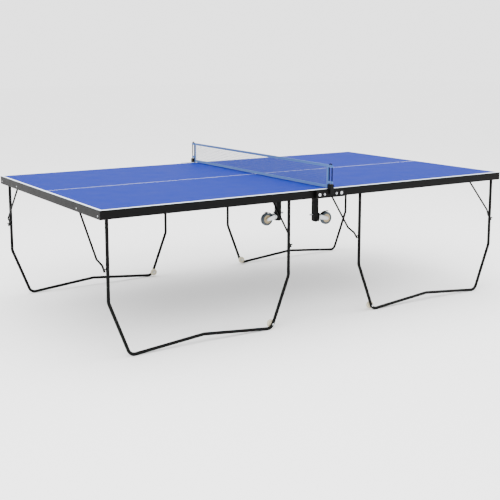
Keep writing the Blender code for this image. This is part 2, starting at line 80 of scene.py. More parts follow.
# %% Camera
CAMERA_TILT, CAMERA_TURN = 0.1560, 1.0026      # down from level, and from the X axis, in radians
camera_data = bpy.data.cameras.new("camera")
camera_data.sensor_width = 36
camera_data.lens = 65.08
camera_data.shift_x = 0.0037
camera_data.shift_y = -0.1
camera = bpy.data.objects.new("camera", camera_data)
camera.location = (-3.0580, -4.7194, 1.4787)
camera.rotation_euler = (math.pi / 2 - CAMERA_TILT, 0, CAMERA_TURN - math.pi / 2)
bpy.context.scene.collection.objects.link(camera)
bpy.context.scene.camera = camera
print("camera", tuple(round(x, 3) for x in camera.location))

# %% [markdown]
# A colour picked on a screen is an sRGB value, and Blender's sockets want linear
# light. One function turns the one into the other, with the standard's curve.


# %% Colours and nodes
def tint(code):
    """Linear colour of an sRGB hex code: below 0.04045 a straight line, above it a power of 2.4."""
    part = np.array([int(code[i:i + 2], 16) / 255 for i in (0, 2, 4)])
    linear = np.where(part <= 0.04045, part / 12.92, ((part + 0.055) / 1.055) ** 2.4)
    return (*(float(value) for value in linear), 1.0)


def add_node(tree, kind, inputs=None, **settings):
    """A node of this kind; inputs give each socket a value, or link it to another node's output."""
    node = tree.nodes.new(kind)
    for name, value in settings.items():
        setattr(node, name, value)
    for socket, value in (inputs or {}).items():
        if isinstance(value, bpy.types.NodeSocket):
            tree.links.new(value, node.inputs[socket])
        else:
            node.inputs[socket].default_value = value
    return node


def new_finish(name, **shader):
    """A material with one Principled shader; shader gives its sockets by name, with _ for a space."""
    material = bpy.data.materials.new(name)
    material.use_nodes = True
    tree = material.node_tree
    tree.nodes.clear()
    surface = add_node(tree, "ShaderNodeBsdfPrincipled",
                       {socket.replace("_", " "): value for socket, value in shader.items()})
    add_node(tree, "ShaderNodeOutputMaterial", {"Surface": surface.outputs[0]})
    place = add_node(tree, "ShaderNodeTexCoord").outputs["Object"]
    return material, tree, surface, place


# %% [markdown]
# The floor is a plain pale sheet, far larger than the table. Three large soft
# lamps and a bright sky light it, as a white studio does, so that shadows are
# faint and the black steel keeps soft highlights.

# %% Floor and light
FLOOR_PATCHES = 0.6     # patches of shade in a metre
floor_paint, tree, surface, place = new_finish("matt_white_floor", Roughness=0.9)
patch = add_node(tree, "ShaderNodeTexNoise", {"Vector": place, "Scale": FLOOR_PATCHES, "Detail": 2.0})
shade = add_node(tree, "ShaderNodeValToRGB", {"Fac": patch.outputs["Fac"]})
shade.color_ramp.elements[0].color = tint("fbfbfb")
shade.color_ramp.elements[1].color = tint("fefefe")
tree.links.new(shade.outputs["Color"], surface.inputs["Base Color"])
FLOOR_REACH = 40.0
floor_mesh = bpy.data.meshes.new("floor")
floor_mesh.from_pydata([(-FLOOR_REACH, -FLOOR_REACH, 0), (FLOOR_REACH, -FLOOR_REACH, 0),
                        (FLOOR_REACH, FLOOR_REACH, 0), (-FLOOR_REACH, FLOOR_REACH, 0)], [], [(0, 1, 2, 3)])
floor_mesh.materials.append(floor_paint)
floor = bpy.data.objects.new("floor", floor_mesh)
bpy.context.scene.collection.objects.link(floor)

world = bpy.data.worlds.new("bright_room")
bpy.context.scene.world = world
world.use_nodes = True
sky = world.node_tree.nodes["Background"]
sky.inputs["Color"].default_value = (1.0, 1.0, 1.0, 1.0)
sky.inputs["Strength"].default_value = 2.6

AIM = (0, 0, 0.5)       # the point under the middle of the table that the lamps face
LAMPS = {  # place, width in metres, watts
    "key": ((-3.5, -4.0, 4.5), 3.5, 300),
    "fill": ((4.5, -3.0, 3.5), 3.0, 140),
    "top": ((0.0, 1.0, 5.5), 5.0, 240),
}
for name, (spot, width, watts) in LAMPS.items():
    lamp = bpy.data.lights.new(name, "AREA")
    lamp.shape = "DISK"
    lamp.size = width
    lamp.energy = watts
    lamp_object = bpy.data.objects.new(name, lamp)
    lamp_object.location = spot
    aim = np.array(AIM) - spot
    lamp_object.rotation_euler = (math.acos(-aim[2] / np.linalg.norm(aim)), 0,
                                  math.atan2(aim[1], aim[0]) - math.pi / 2)
    bpy.context.scene.collection.objects.link(lamp_object)
print("lamps:", list(LAMPS))

# %% [markdown]
# ## Finishes
#
# **Lacquered board.** The top is a sheet of MDF, primed, rolled with matt blue
# lacquer and lined in white. The roller leaves a very fine orange peel, which
# breaks up the reflections. The lines are part of the finish, so they are worked
# out from the place on the board: a border round the outside, and a thin line
# down the middle. The underside is sealed with dark primer.

# %% Lacquered board
# The border is measured from the table's edge, so the black rim covers 2 mm of it.
LINE_WIDE, CENTRE_LINE_WIDE = 0.014, 0.0036
UNDERSIDE_Z = HEIGHT - 0.0145
lacquer, tree, surface, place = new_finish("matt_lacquered_board", Roughness=0.6, IOR=1.5,
                                           Specular_IOR_Level=0.03)
axes = add_node(tree, "ShaderNodeSeparateXYZ", {"Vector": place})
away = {axis: add_node(tree, "ShaderNodeMath", {0: axes.outputs[axis]}, operation="ABSOLUTE").outputs[0]
        for axis in "XY"}
end_line = add_node(tree, "ShaderNodeMath", {0: away["X"], 1: END_X - LINE_WIDE}, operation="GREATER_THAN")
side_line = add_node(tree, "ShaderNodeMath", {0: away["Y"], 1: EDGE_Y - LINE_WIDE}, operation="GREATER_THAN")
centre_line = add_node(tree, "ShaderNodeMath", {0: away["Y"], 1: CENTRE_LINE_WIDE / 2}, operation="LESS_THAN")
border = add_node(tree, "ShaderNodeMath", {0: end_line.outputs[0], 1: side_line.outputs[0]},
                  operation="MAXIMUM")
lines = add_node(tree, "ShaderNodeMath", {0: border.outputs[0], 1: centre_line.outputs[0]},
                 operation="MAXIMUM")
CLOUDS = 9.0            # faint clouds of colour and gloss in a metre
cloudy = add_node(tree, "ShaderNodeTexNoise", {"Vector": place, "Scale": CLOUDS, "Detail": 3.0})
blue = add_node(tree, "ShaderNodeValToRGB", {"Fac": cloudy.outputs["Fac"]})
blue.color_ramp.elements[0].color = tint("021b74")
blue.color_ramp.elements[1].color = tint("031f7e")
MIX_A, MIX_B, MIX_OUT = 6, 7, 2      # the colour sockets of a Mix node, by number
lined = add_node(tree, "ShaderNodeMix",
                 {0: lines.outputs[0], MIX_A: blue.outputs["Color"], MIX_B: tint("dfe9f4")},
                 data_type="RGBA")
below = add_node(tree, "ShaderNodeMath", {0: axes.outputs["Z"], 1: UNDERSIDE_Z}, operation="LESS_THAN")
sealed = add_node(tree, "ShaderNodeMix",
                  {0: below.outputs[0], MIX_A: lined.outputs[MIX_OUT], MIX_B: tint("0e0f11")},
                  data_type="RGBA")
tree.links.new(sealed.outputs[MIX_OUT], surface.inputs["Base Color"])
# The real orange peel is about 0.6 mm across; it is drawn at 2.5 mm, so that it shows.
PEEL_SIZE, PEEL_DEPTH = 0.0025, 0.00012
peel = add_node(tree, "ShaderNodeTexNoise", {"Vector": place, "Scale": 1 / PEEL_SIZE, "Detail": 2.0})
relief = add_node(tree, "ShaderNodeBump",
                  {"Height": peel.outputs["Fac"], "Strength": 0.35, "Distance": PEEL_DEPTH})
tree.links.new(relief.outputs["Normal"], surface.inputs["Normal"])
gloss = add_node(tree, "ShaderNodeMapRange", {"Value": cloudy.outputs["Fac"], "To Min": 0.56, "To Max": 0.68})
tree.links.new(gloss.outputs["Result"], surface.inputs["Roughness"])
print("lacquer with a border of", round(LINE_WIDE * 1000, 1), "mm")

# %% [markdown]
# **Powder-coated steel.** Black polyester powder is sprayed on dry and melted in
# an oven. It flows into a satin skin with a fine pebbled grain, so its highlights
# are broad and broken up. The rims, brackets, legs, braces and posts all have it.
#
# **Zinc-plated steel.** The bolt heads, hinge shafts, castor forks and pull pins
# are plated with zinc and passivated, which leaves a pale grey metal with cloudy
# patches of gloss.


# %% Two metals
def grained(name, dark, light, patch_size, grain_size, grain_depth, rough, **shader):
    """A finish whose colour drifts between two hex values, with a pebbled grain; sizes in metres."""
    material, tree, surface, place = new_finish(name, **shader)
    patches = add_node(tree, "ShaderNodeTexNoise", {"Vector": place, "Scale": 1 / patch_size, "Detail": 3.0})
    drift = add_node(tree, "ShaderNodeValToRGB", {"Fac": patches.outputs["Fac"]})
    drift.color_ramp.elements[0].color = tint(dark)
    drift.color_ramp.elements[1].color = tint(light)
    tree.links.new(drift.outputs["Color"], surface.inputs["Base Color"])
    pebbles = add_node(tree, "ShaderNodeTexNoise", {"Vector": place, "Scale": 1 / grain_size, "Detail": 2.0})
    relief = add_node(tree, "ShaderNodeBump",
                      {"Height": pebbles.outputs["Fac"], "Strength": 0.5, "Distance": grain_depth})
    tree.links.new(relief.outputs["Normal"], surface.inputs["Normal"])
    gloss = add_node(tree, "ShaderNodeMapRange",
                     {"Value": patches.outputs["Fac"], "To Min": rough - 0.06, "To Max": rough + 0.06})
    tree.links.new(gloss.outputs["Result"], surface.inputs["Roughness"])
    return material


# The powder's real grain is about 0.3 mm; it is drawn at 1.2 mm.
powder_coat = grained("black_powder_coated_steel", "020202", "040404", 0.05, 0.0012, 0.0001, 0.45, IOR=1.5,
                      Specular_IOR_Level=0.07)
zinc_plate = grained("zinc_plated_steel", "a9adb2", "c8cacc", 0.008, 0.0008, 0.00003, 0.34, Metallic=1.0)

# %% [markdown]
# **Moulded plastics.** The foot rollers and the castors' hubs are pale nylon, the
# castors' tyres are a grey-blue polyurethane, and the net clamps and the castors'
# small levers are black ABS with a fine eroded texture from their mould.

# %% Plastics
roller_nylon = grained("ivory_moulded_nylon", "b4ab90", "c6bea6", 0.01, 0.0009, 0.00004, 0.45, IOR=1.53)
hub_nylon = grained("beige_moulded_nylon", "8d7c5c", "a09070", 0.01, 0.0009, 0.00004, 0.5, IOR=1.53)
tyre_rubber = grained("grey_polyurethane_tyre", "1c2830", "28353f", 0.012, 0.001, 0.00008, 0.55, IOR=1.5)
black_plastic = grained("black_moulded_abs", "030303", "050506", 0.02, 0.0009, 0.00008, 0.5, IOR=1.54,
                        Specular_IOR_Level=0.08)

# %% [markdown]
# ** Woven cloth.** The net is knitted from round polyester cord, and its top,
# bottom and ends are bound in plain-woven tape. A plain weave crosses one thread
# over and one under, which is the product of two sine waves at right angles. The
# colour follows that height, with painted shade darkening the dips between the
# threads. The cloth scatters light at grazing angles, so it has a little sheen.


# %% Cloth
def woven(name, dark, light, pitch):
    """Plain weave: height = sin(pi x along / pitch) x sin(pi x up / pitch); the colour follows it, with
    painted shade in the dips.
    """
    material, tree, surface, place = new_finish(name, Roughness=0.85, Sheen_Weight=0.25, Sheen_Roughness=0.5)
    axes = add_node(tree, "ShaderNodeSeparateXYZ", {"Vector": place})
    waves = []
    for axis in "YZ":
        phase = add_node(tree, "ShaderNodeMath", {0: axes.outputs[axis], 1: math.pi / pitch},
                         operation="MULTIPLY")
        waves.append(add_node(tree, "ShaderNodeMath", {0: phase.outputs[0]}, operation="SINE").outputs[0])
    height = add_node(tree, "ShaderNodeMath", {0: waves[0], 1: waves[1]}, operation="MULTIPLY")
    share = add_node(tree, "ShaderNodeMapRange", {"Value": height.outputs[0], "From Min": -1.0})
    # Painted shade: the dips between threads take the darker colour, and the raised crossings take the
    # lighter one.
    colour = add_node(tree, "ShaderNodeValToRGB", {"Fac": share.outputs["Result"]})
    colour.color_ramp.elements[0].color = tint(dark)
    colour.color_ramp.elements[1].color = tint(light)
    tree.links.new(colour.outputs["Color"], surface.inputs["Base Color"])
    relief = add_node(tree, "ShaderNodeBump",
                      {"Height": share.outputs["Result"], "Strength": 0.6, "Distance": 0.0002})
    tree.links.new(relief.outputs["Normal"], surface.inputs["Normal"])
    return material


# A tape's threads are about 0.5 mm apart. They are drawn 1.5 mm apart, and 2 mm on
# the cords, so that they show.
# In each pair, the first colour is the painted shade of the dips and the second is the raised threads.
tape_cloth = woven("blue_woven_polyester_tape", "123e78", "1d5290", 0.0015)
net_cord = woven("blue_polyester_cord", "0b2150", "123068", 0.0020)
print("finishes:", len([m for m in bpy.data.materials if m.use_nodes]))

# %% [markdown]
# ## Surfaces from numbers
#
# Most new pieces here are a tube of some outline: a ring of points repeated along
# a path. Such a surface is a grid, so every face is found from two counters, the
# ring's and the point's. The two ends are closed with one flat face each. A
# closed surface has a positive volume when its faces point outwards, so the
# volume's sign says whether the grid has to be turned round.


# %% Grids to closed surfaces
def grid_faces(tubes, count, around, rows):
    """Quads of the first rows of each tube's grid; the last ring is followed by the first."""
    tube, ring, point = np.ogrid[:tubes, :rows, :around]

    def number(up, on):
        return (tube * count + (ring + up) % count) * around + (point + on) % around

    corners = np.broadcast_arrays(number(0, 0), number(0, 1), number(1, 1), number(1, 0))
    return np.stack(corners, -1).reshape(-1, 4)


def outward(points, *groups):
    """The faces as lists, all turned round if the volume inside them comes out negative.

    Volume = a sixth of the sum of a . (b x c) over the triangles a, b, c.
    """
    volume = sum((points[faces[:, 0]] * np.cross(points[faces[:, k]], points[faces[:, k + 1]])).sum()
                 for faces in groups for k in range(1, faces.shape[1] - 1))
    return [face for faces in groups for face in (faces[:, ::-1] if volume < 0 else faces).tolist()]


def skin(rings):
    """Closed surfaces from rings of points, an array (tubes, rings, points, 3)."""
    tubes, count, around, _ = rings.shape
    points = rings.reshape(-1, 3)
    first = np.arange(tubes)[:, None] * count * around + np.arange(around)
    caps = np.concatenate([first[:, ::-1], first + (count - 1) * around])
    return points, outward(points, grid_faces(tubes, count, around, count - 1), caps)


def closed_loop(rings):
    """Surface of rings (rings, points, 3) whose last ring joins the first, such as a band."""
    count, around, _ = rings.shape
    points = rings.reshape(-1, 3)
    return points, outward(points, grid_faces(1, count, around, count))


SHARP = math.radians(38)      # an edge that turns by more than this stays crisp


def finish_piece(mesh, name, material, body, replaced):
    """Puts a mesh in the scene, with its finish, its body and the frame's nodes that it stands for."""
    mesh.materials.clear()
    mesh.materials.append(material)
    mesh.shade_smooth()
    obj = bpy.data.objects.new(name, mesh)
    bpy.context.scene.collection.objects.link(obj)
    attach(obj, body)
    if replaced:
        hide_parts(*replaced)
    return obj


def new_piece(name, surfaces, material, body, slot, *replaced):
    """One piece made of several closed surfaces."""
    points = np.concatenate([surface[0] for surface in surfaces])
    starts = np.cumsum([0] + [len(surface[0]) for surface in surfaces[:-1]])
    faces = [[int(start) + corner for corner in face]
             for start, surface in zip(starts, surfaces) for face in surface[1]]
    mesh = bpy.data.meshes.new(name)
    mesh.from_pydata(points.tolist(), [], faces)
    obj = finish_piece(mesh, name, material, body, replaced)
    mesh.set_sharp_from_angle(angle=SHARP)
    return obj


# %% [markdown]
# A bent tube's path is a line of straight runs with an arc at each bend. The
# arc's two ends lie on the straight runs at radius / tan(half the corner's
# angle), and the points between turn evenly about the arc's centre.


# %% Paths and sweeps
def unit(vectors):
    """Each vector divided by its own length."""
    return vectors / np.linalg.norm(vectors, axis=-1, keepdims=True)


def rounded_path(corners, radii, steps=7, closed=False):
    """Line of corners with an arc of its radius at each; an open line keeps its two end corners.

    From the arc's centre, the point at share s of a turn t is
    (sin((1 - s) t) first + sin(s t) last) / sin(t).
    """
    corners = np.asarray(corners, float)
    ring = corners if closed else corners[1:-1]
    before = np.roll(corners, 1, 0) if closed else corners[:-2]
    after = np.roll(corners, -1, 0) if closed else corners[2:]
    radius = np.broadcast_to(np.asarray(radii, float), len(ring))[:, None]
    way_in, way_out = unit(before - ring), unit(after - ring)
    half = np.arccos(np.clip((way_in * way_out).sum(-1), -1, 1))[:, None] / 2
    centre = ring + unit(way_in + way_out) * radius / np.sin(half)
    first = ring + way_in * radius / np.tan(half) - centre
    last = ring + way_out * radius / np.tan(half) - centre
    turn = np.pi - 2 * half[:, None]
    share = np.linspace(0, 1, steps)[None, :, None]
    spokes = np.sin((1 - share) * turn) * first[:, None] + np.sin(share * turn) * last[:, None]
    arcs = (centre[:, None] + spokes / np.sin(turn)).reshape(-1, corners.shape[1])
    return arcs if closed else np.concatenate([corners[:1], arcs, corners[-1:]])


def carried(outline, path, across, scale=None):
    """Outline (right, across) carried along a path that lies in the plane square to across.

    At each point of the path, right = (the path's direction) x across.
    """
    path, across = np.asarray(path, float), np.asarray(across, float)
    legs = unit(np.diff(path, axis=0))
    ahead = unit(np.concatenate([legs[:1], legs[:-1] + legs[1:], legs[-1:]]))
    right = np.cross(ahead, across)
    scale = np.ones(len(path)) if scale is None else scale
    flat = outline[None] * scale[:, None, None]
    return skin((path[:, None] + flat[..., :1] * right[:, None] + flat[..., 1:] * across)[None])


def circle(radius, sides):
    """Points at (radius cos t, radius sin t), with t evenly spaced round the circle."""
    turn = np.arange(sides) * 2 * np.pi / sides
    return radius * np.stack([np.cos(turn), np.sin(turn)], -1)


def round_bar(path, radius, across, sides=20):
    """Round bar along a path; near each end its radius falls by a quarter circle of a third of it."""
    path = np.asarray(path, float)
    turn = np.array([0.0, np.pi / 4, np.pi / 2])
    soft = radius / 3
    inset = soft * (1 - np.cos(turn))
    shrink = 1 - soft / radius * (1 - np.sin(turn))
    start, stop = unit(path[1] - path[0]), unit(path[-2] - path[-1])
    whole = np.concatenate([path[0] + inset[:, None] * start, path[1:-1],
                            (path[-1] + inset[:, None] * stop)[::-1]])
    scale = np.concatenate([shrink, np.ones(len(path) - 2), shrink[::-1]])
    return carried(circle(radius, sides), whole, across, scale)


def turned(profile, centre, axis, sides=24):
    """Profile of (radius, distance along the axis) turned about an axis through centre.

    Point = centre + distance x axis + radius x (cos t u + sin t v), with u and v square to the axis.
    """
    profile = np.asarray(profile, float)
    axis = np.asarray(axis, float)
    u = AXES[int(np.argmax(np.abs(axis)) + 1) % 3]
    v = np.cross(axis, u)
    spokes = circle(1, sides) @ np.stack([u, v])
    rings = np.asarray(centre) + profile[:, 1, None, None] * axis + profile[:, 0, None, None] * spokes
    return skin(rings[None])


print("a straight bar has", len(round_bar([(0, 0, 0), (0, 0, 1)], 0.005, AXES[0])[0]), "points")

# %% [markdown]
# ## Boards, rims and brackets
#
# The folded sheet-metal pieces and the boards already have the right shape in
# the frame, but their edges are perfectly sharp, and a real edge always catches
# a thin line of light. So each is copied, its loose triangles are merged into
# whole faces, and a Bevel rounds every edge by half a millimetre to one and a half.


# %% Rounded copies of the frame's pieces
def rounded_copy(node, name, material, body, edge):
    """A copy of a frame node with its edges rounded by edge, in metres."""
    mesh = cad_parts[node].data.copy()
    mesh.name = name
    for layer in [a.name for a in mesh.attributes if a.name == "custom_normal"]:
        mesh.attributes.remove(mesh.attributes[layer])
    whole = bmesh.new()
    whole.from_mesh(mesh)
    bmesh.ops.remove_doubles(whole, verts=whole.verts[:], dist=1e-5)
    bmesh.ops.dissolve_limit(whole, angle_limit=math.radians(1),
                             verts=whole.verts[:], edges=whole.edges[:])
    whole.to_mesh(mesh)
    whole.free()
    obj = finish_piece(mesh, name, material, body, [node])
    bevel = obj.modifiers.new("rounded_edges", "BEVEL")
    bevel.width = edge
    bevel.segments = 2
    bevel.limit_method = "ANGLE"
    bevel.angle_limit = SHARP
    bevel.use_clamp_overlap = True
    bevel.harden_normals = True
    return obj


CARRIAGE = "carriage"
BOARD_EDGE, SHEET_EDGE, CLAMP_EDGE = 0.0008, 0.0006, 0.0012
for half in HALVES:
    body = f"{half}_half"
    rounded_copy(f"{half}_board", f"{half}_lacquered_board", lacquer, body, BOARD_EDGE)
    rounded_copy(f"{half}_end_rail", f"{half}_end_rim", powder_coat, body, SHEET_EDGE)
    rounded_copy(f"{half}_cross_rail", f"{half}_cross_member", powder_coat, body, SHEET_EDGE)
    for side in SIDES:
        rounded_copy(f"{half}_{side}_side_rail", f"{half}_{side}_rim", powder_coat, body,
                     SHEET_EDGE)
for side in SIDES:
    rounded_copy(f"{side}_side_bracket", f"{side}_middle_bracket", powder_coat, CARRIAGE,
                 SHEET_EDGE)
    rounded_copy(f"{side}_net_clamp", f"{side}_clamp_block", black_plastic, CARRIAGE,
                 CLAMP_EDGE)

# %% [markdown]
# Dome-headed bolts hold the brackets and the legs. A dome is a piece of a sphere:
# at a distance a from its middle its height falls off as the square root of
# 1 - a squared. Turning that profile about the bolt's axis gives the head.


# %% Bolt heads
def dome_head(centre, axis, radius, high, sides=24):
    """Domed head on a thin washer; the profile's height = high x sqrt(1 - (distance / radius)^2)."""
    share = np.sin(np.linspace(0.08, 1, 7) * np.pi / 2)
    dome = np.stack([share * radius * 0.86, high * 0.3 + high * 0.7 * np.sqrt(1 - share ** 2)], -1)
    washer = [(radius * 0.95, high * 0.3), (radius, high * 0.22), (radius, -0.0002)]
    return turned(np.concatenate([dome, washer]), centre, axis, sides)


HINGE_X, HINGE_Z = 0.076, 0.733
BRACKET_OUT_Y = 0.7829
SMALL_BOLT_X, SMALL_BOLT_R, SMALL_BOLT_HIGH = 0.0415, 0.0072, 0.0038
for side, edge in SIDES.items():
    heads = [dome_head((x, edge * BRACKET_OUT_Y, HINGE_Z), edge * AXES[1], SMALL_BOLT_R, SMALL_BOLT_HIGH)
             for x in (-SMALL_BOLT_X, SMALL_BOLT_X)]
    new_piece(f"{side}_bracket_bolts", heads, zinc_plate, CARRIAGE, "zinc")

SHAFT_R, BOLT_R, HEAD_R, HEAD_HIGH = 0.010, 0.005, 0.009, 0.004
SHAFT_END = 0.740
for half, way in HALVES.items():
    head = BRACKET_OUT_Y + 0.0003
    stepped = np.array([(BOLT_R, -head), (BOLT_R, -SHAFT_END - 0.0005), (SHAFT_R - 0.001, -SHAFT_END),
                        (SHAFT_R, -SHAFT_END + 0.001), (SHAFT_R, SHAFT_END - 0.001),
                        (SHAFT_R - 0.001, SHAFT_END), (BOLT_R, SHAFT_END + 0.0005), (BOLT_R, head)])
    centre = (way * HINGE_X, 0, HINGE_Z)
    caps = [dome_head((way * HINGE_X, edge * head, HINGE_Z), edge * AXES[1], HEAD_R, HEAD_HIGH)
            for edge in SIDES.values()]
    new_piece(f"{half}_fold_shaft", [turned(stepped, centre, AXES[1]), *caps], zinc_plate, CARRIAGE,
              "zinc", f"{half}_hinge_shaft")
print("bolts on", len(SIDES), "brackets")

# %% [markdown]
# ## Legs
#
# Each leg is one steel tube, 18 mm thick, bent five times: down from the rim,
# inwards below the knee, round a tight foot, and up to a shallow kink in the
# middle of the floor bar, then the same again to the other post. So the table
# stands on eight feet, and the bars between them clear an uneven floor.

# %% Leg tubes
TUBE_R = 0.009
LEG_Y = 0.734
LEG_POST_X = {"outer": 1.3246, "inner": 0.2496}
LEG_TOP_Z, LEG_PIVOT_Z, LEG_KNEE_Z = 0.738, 0.729, 0.2932
FOOT_X, FOOT_Z = {"outer": 1.2137, "inner": 0.3611}, 0.006372
KINK_X, KINK_RISE = 0.7903, 0.0396
BEND_RADII = (0.050, 0.040, 0.060, 0.040, 0.050)
LOWER_PART_Z = LEG_KNEE_Z - 0.050
HOOK_PIN_Z, HOOK_PIN_R = 0.463, 0.0035
ROLLER_X, ROLLER_Z = 0.355, 0.030
ROLLER_R, ROLLER_WIDE, ROLLER_GAP = 0.022, 0.015, 0.0008
AXLE_R, AXLE_FROM, AXLE_TO = 0.004, -0.0088, 0.0252
OUTER_HEAD, INNER_HEAD = (0.0062, 0.0032), (0.0070, 0.0026)    # radius and height
PIN_SIDES = 18


def leg_path(way, y):
    """Centre line of one leg, with its lower part moved until the tube touches the floor."""
    corners = np.array([(LEG_POST_X["outer"], LEG_TOP_Z), (LEG_POST_X["outer"], LEG_KNEE_Z),
                        (FOOT_X["outer"], FOOT_Z), (KINK_X, FOOT_Z + KINK_RISE), (FOOT_X["inner"], FOOT_Z),
                        (LEG_POST_X["inner"], LEG_KNEE_Z), (LEG_POST_X["inner"], LEG_TOP_Z)])
    flat = rounded_path(corners, BEND_RADII, steps=9)
    flat[:, 1] += (flat[:, 1] < LOWER_PART_Z) * (TUBE_R - flat[:, 1].min())
    return np.stack([way * flat[:, 0], np.full(len(flat), y), flat[:, 1]], -1)


def leg_pins(way, y, post, rail_face):
    """The pivot pin into the rail, with its thicker collar, and the short hook pin below it."""
    toward = 1 if rail_face > post else -1
    axis = way * toward * AXES[0]
    reach = abs(rail_face - post)
    pivot = [(0.0065, -0.0085), (0.007, -0.008), (0.007, reach - 0.0005), (0.0065, reach - 0.0001),
             (0.005, reach), (0.005, reach + 0.0021)]
    hook = [(HOOK_PIN_R, 0.0), (HOOK_PIN_R, 0.0212), (0.0048, 0.0215), (0.0052, 0.0225), (0.0044, 0.0235)]
    return [turned(pivot, (way * post, y, LEG_PIVOT_Z), axis, PIN_SIDES),
            turned(hook, (way * post, y, HOOK_PIN_Z), axis, PIN_SIDES)]


for half, way in HALVES.items():
    for side, edge in SIDES.items():
        y = edge * LEG_Y
        surfaces = [round_bar(leg_path(way, y), TUBE_R, AXES[1], 24)]
        surfaces += leg_pins(way, y, LEG_POST_X["outer"], END_X - 0.0048)
        surfaces += leg_pins(way, y, LEG_POST_X["inner"], CROSS_RAIL_FACE + 0.0003)
        surfaces.append(turned([(AXLE_R, AXLE_FROM), (AXLE_R, AXLE_TO)], (way * ROLLER_X, y, ROLLER_Z),
                               -edge * AXES[1], PIN_SIDES))
        new_piece(f"{half}_{side}_leg_tube", surfaces, powder_coat, f"{half}_{side}_leg", "black_steel",
                  f"{half}_{side}_leg_frame")
        outer_head = dome_head((way * ROLLER_X, edge * (LEG_Y + TUBE_R - 0.0003), ROLLER_Z),
                               edge * AXES[1], *OUTER_HEAD)
        inner_head = dome_head((way * ROLLER_X, edge * (LEG_Y - AXLE_TO), ROLLER_Z),
                               -edge * AXES[1], *INNER_HEAD)
        new_piece(f"{half}_{side}_roller_bolt", [outer_head, inner_head], zinc_plate,
                  f"{half}_{side}_leg", "zinc")
print("leg path:", len(leg_path(1, 0)), "points, lowest", round(float(leg_path(1, 0)[:, 2].min()), 4))

# %% [markdown]
# A foot roller is a thick ivory disc. Its sides are dished between the rim and the
# hub, as a moulding is so that it cools evenly, and its edges are rounded.

# %% Foot rollers
def both_faces(face):
    """A wheel's profile from one face's, by the mirror image of its (radius, height) rows."""
    return face + [(radius, -height) for radius, height in face[::-1]]


half_wide = ROLLER_WIDE / 2
roller_profile = both_faces([(0.0046, half_wide), (0.0082, half_wide), (0.0090, half_wide - 0.0005),
                             (0.0096, half_wide - 0.0022), (0.0150, half_wide - 0.0024),
                             (0.0160, half_wide - 0.0008), (0.0170, half_wide), (0.0195, half_wide),
                             (0.0212, half_wide - 0.0008), (ROLLER_R, half_wide - 0.0028)])
for half, way in HALVES.items():
    for side, edge in SIDES.items():
        middle = edge * (LEG_Y - TUBE_R - ROLLER_GAP - half_wide)
        disc = turned(roller_profile, (way * ROLLER_X, middle, ROLLER_Z), AXES[1], 40)
        new_piece(f"{half}_{side}_roller_disc", [disc], roller_nylon, f"{half}_{side}_roller", "nylon",
                  f"{half}_{side}_foot_roller")
print("rollers of", 2000 * ROLLER_R, "mm")

# %% [markdown]
# ## Braces
#
# An 11 mm rod runs down from each rail to its leg, at about 45 degrees. Near the
# leg it steps sideways, so that its end can hook on the pin beside the post. Its whole
# path lies in one sloping plane, so it can be carried with a fixed direction, the
# one that is square to that plane.

# %% Braces
BRACE_R = 0.0055
BRACE_TOP_Y, BRACE_TOP_Z, BRACE_LOW_Z = 0.4645, 0.7295, 0.449
STEP_FROM, STEP_TO = 0.80, 0.90
BRACE_BENDS = (0.0065, 0.012, 0.012)
RIVET_R, RIVET_HIGH = 0.0042, 0.0016
# where each rod starts in its rail, runs down, and ends at its hook
BRACE_X = {"outer": (END_X - 0.0005, 1.3585, 1.3411), "inner": (0.1990, 0.2091, 0.2331)}
slope = unit(np.array([0, LEG_Y - BRACE_TOP_Y, BRACE_LOW_Z - BRACE_TOP_Z]))


def brace_bar(way, edge, post):
    """One rod from its rail to its leg; run holds (x, share of the way down) at each corner."""
    bore_x, plane_x, hook_x = BRACE_X[post]
    run = np.array([(bore_x, 0), (plane_x, 0), (plane_x, STEP_FROM), (hook_x, STEP_TO), (hook_x, 1)])
    corners = np.stack([way * run[:, 0], edge * (BRACE_TOP_Y + run[:, 1] * (LEG_Y - BRACE_TOP_Y)),
                        BRACE_TOP_Z + run[:, 1] * (BRACE_LOW_Z - BRACE_TOP_Z)], -1)
    path = rounded_path(corners, BRACE_BENDS, steps=6)
    across = unit(np.cross(AXES[0], slope * (1, edge, 1)))
    return round_bar(path, BRACE_R, across, 14)


for half, way in HALVES.items():
    for side, edge in SIDES.items():
        for post in ("outer", "inner"):
            new_piece(f"{half}_{side}_{post}_brace_rod", [brace_bar(way, edge, post)], powder_coat,
                      f"{half}_{side}_{post}_brace_arm", "black_steel", f"{half}_{side}_{post}_brace")
    rivets = [dome_head((way * (END_X - 0.0004), edge * y, z), way * AXES[0], RIVET_R, RIVET_HIGH, 18)
              for edge in SIDES.values() for y, z in ((LEG_Y, LEG_PIVOT_Z), (BRACE_TOP_Y, BRACE_TOP_Z))]
    new_piece(f"{half}_end_rim_rivets", rivets, zinc_plate, f"{half}_half", "zinc")
print("brace slope:", slope.round(3))

# %% [markdown]
# ## Castors
#
# Four square posts hang from the shafts under the middle of the table. Each has a
# castor on a plate that swings down under the post when the table is folded up,
# and a sprung pin that locks it. In play the castors are swung up to the sides,
# clear of the floor.
#
# The plates and forks are sheet steel, so rounded copies serve. The wheel is
# turned: a polyurethane tyre over a beige hub with a raised boss.

# %% Posts, plates, forks and wheels
POST_X, SWIVEL_Z = 0.081, 0.5575
WHEEL_OUT, WHEEL_TRAIL, WHEEL_R, WHEEL_WIDE = 0.079, 0.013, 0.0375, 0.022
POST_Y = {("left", "near"): -0.382, ("left", "far"): 0.530,
          ("right", "near"): -0.530, ("right", "far"): 0.382}
HUB_R = 0.0245
LEVER_GAP, LEVER_FROM, LEVER_TO = 0.0038, 140, 78    # clear of the tyre; degrees about the axle
LEVER_THICK, LEVER_WIDE = 0.0024, 0.019
POST_EDGE, PRESSED_EDGE = 0.0015, 0.0005
AXLE_HEAD_Y, AXLE_HEAD_R, AXLE_HEAD_HIGH = 0.0174, 0.0062, 0.0032


